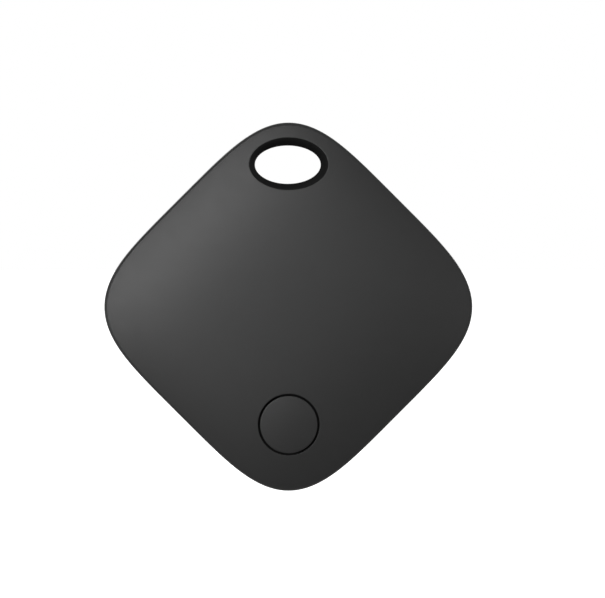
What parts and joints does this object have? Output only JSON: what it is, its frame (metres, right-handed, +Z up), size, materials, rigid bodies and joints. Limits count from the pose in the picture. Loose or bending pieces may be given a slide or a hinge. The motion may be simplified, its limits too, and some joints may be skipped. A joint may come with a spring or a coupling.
{
  "type": "bluetooth tracker tag",
  "caption": "Flat diamond-shaped key tag with a domed front shell, a round press button, an oval key eye and a coin cell under a push-fit rear cover.",
  "frame": {"origin": "the middle of the key eye, halfway through the tag's thickness", "axes": "+Z up from the press button to the key eye, as the tag hangs; -Y out of the front face with the button on it; +Y out of the flat rear face; +X to the right seen from the front"},
  "size_m": [0.0456, 0.0082, 0.0456],
  "materials": {
    "case_plastic": "satin",
    "button_plastic": "satin",
    "seal_silicone": "matte",
    "board_laminate": "satin",
    "holder_plastic": "matte",
    "plunger_plastic": "satin",
    "chip_resin": "matte",
    "plated_steel": "polished",
    "ferrite": "matte",
    "copper": "satin",
    "adhesive": "matte",
    "buzzer_brass": "satin",
    "piezo_ceramic": "matte",
    "spring_steel": "satin",
    "cell_steel": "satin",
    "gasket_plastic": "satin",
    "cathode": "matte",
    "lithium": "matte",
    "separator": "matte",
    "foam": "matte",
    "capacitor_ceramic": "satin"
  },
  "bodies": {
    "case": {"front_shell": "case_plastic", "circuit_board": "board_laminate", "board_screw_1": "plated_steel", "board_screw_2": "plated_steel", "radio_chip": "chip_resin", "radio_crystal": "plated_steel", "clock_crystal": "plated_steel", "boost_inductor": "ferrite", "driver_transistor": "chip_resin", "driver_diode": "chip_resin", "motion_sensor": "chip_resin", "capacitor_1": "capacitor_ceramic", "capacitor_2": "capacitor_ceramic", "capacitor_3": "capacitor_ceramic", "capacitor_4": "capacitor_ceramic", "capacitor_5": "capacitor_ceramic", "capacitor_6": "capacitor_ceramic", "resistor_1": "chip_resin", "resistor_2": "chip_resin", "resistor_3": "chip_resin", "resistor_4": "chip_resin", "antenna_inductor_1": "ferrite", "antenna_inductor_2": "ferrite", "antenna_trace": "copper", "buzzer_adhesive": "adhesive", "buzzer_plate": "buzzer_brass", "buzzer_ceramic": "piezo_ceramic", "buzzer_spring_1": "spring_steel", "buzzer_spring_2": "spring_steel", "switch_body": "chip_resin", "switch_frame": "plated_steel", "cell_holder": "holder_plastic", "positive_contact_1": "spring_steel", "positive_contact_2": "spring_steel", "negative_contact": "spring_steel"},
    "button": {"button_cap": "button_plastic"},
    "plunger": {"switch_plunger": "plunger_plastic"},
    "cover": {"rear_cover": "case_plastic", "case_seal": "seal_silicone", "cell_foam_pad": "foam"},
    "cell": {"cell_can": "cell_steel", "cell_gasket": "gasket_plastic", "cell_cap": "cell_steel", "cell_cathode": "cathode", "cell_separator": "separator", "cell_anode": "lithium"}
  },
  "joints": [
    {"name": "button_press", "type": "slide", "parent": "case", "child": "button", "axis": [0, 1, 0], "range_m": [0, 0.00025], "stiffness_N_per_m": 5300},
    {"name": "plunger_press", "type": "slide", "parent": "case", "child": "plunger", "axis": [0, 1, 0], "range_m": [0, 0.00025]},
    {"name": "rear_cover_lift", "type": "slide", "parent": "case", "child": "cover", "axis": [0, 1, 0], "range_m": [0, 0.025]},
    {"name": "cell_lift", "type": "slide", "parent": "case", "child": "cell", "axis": [0, 1, 0], "range_m": [0, 0.01]}
  ],
  "couplings": [
    {"joint": "plunger_press", "follows": "button_press", "ratio": 1},
    {"joint": "cell_lift", "follows": "rear_cover_lift", "ratio": 0.4}
  ]
}
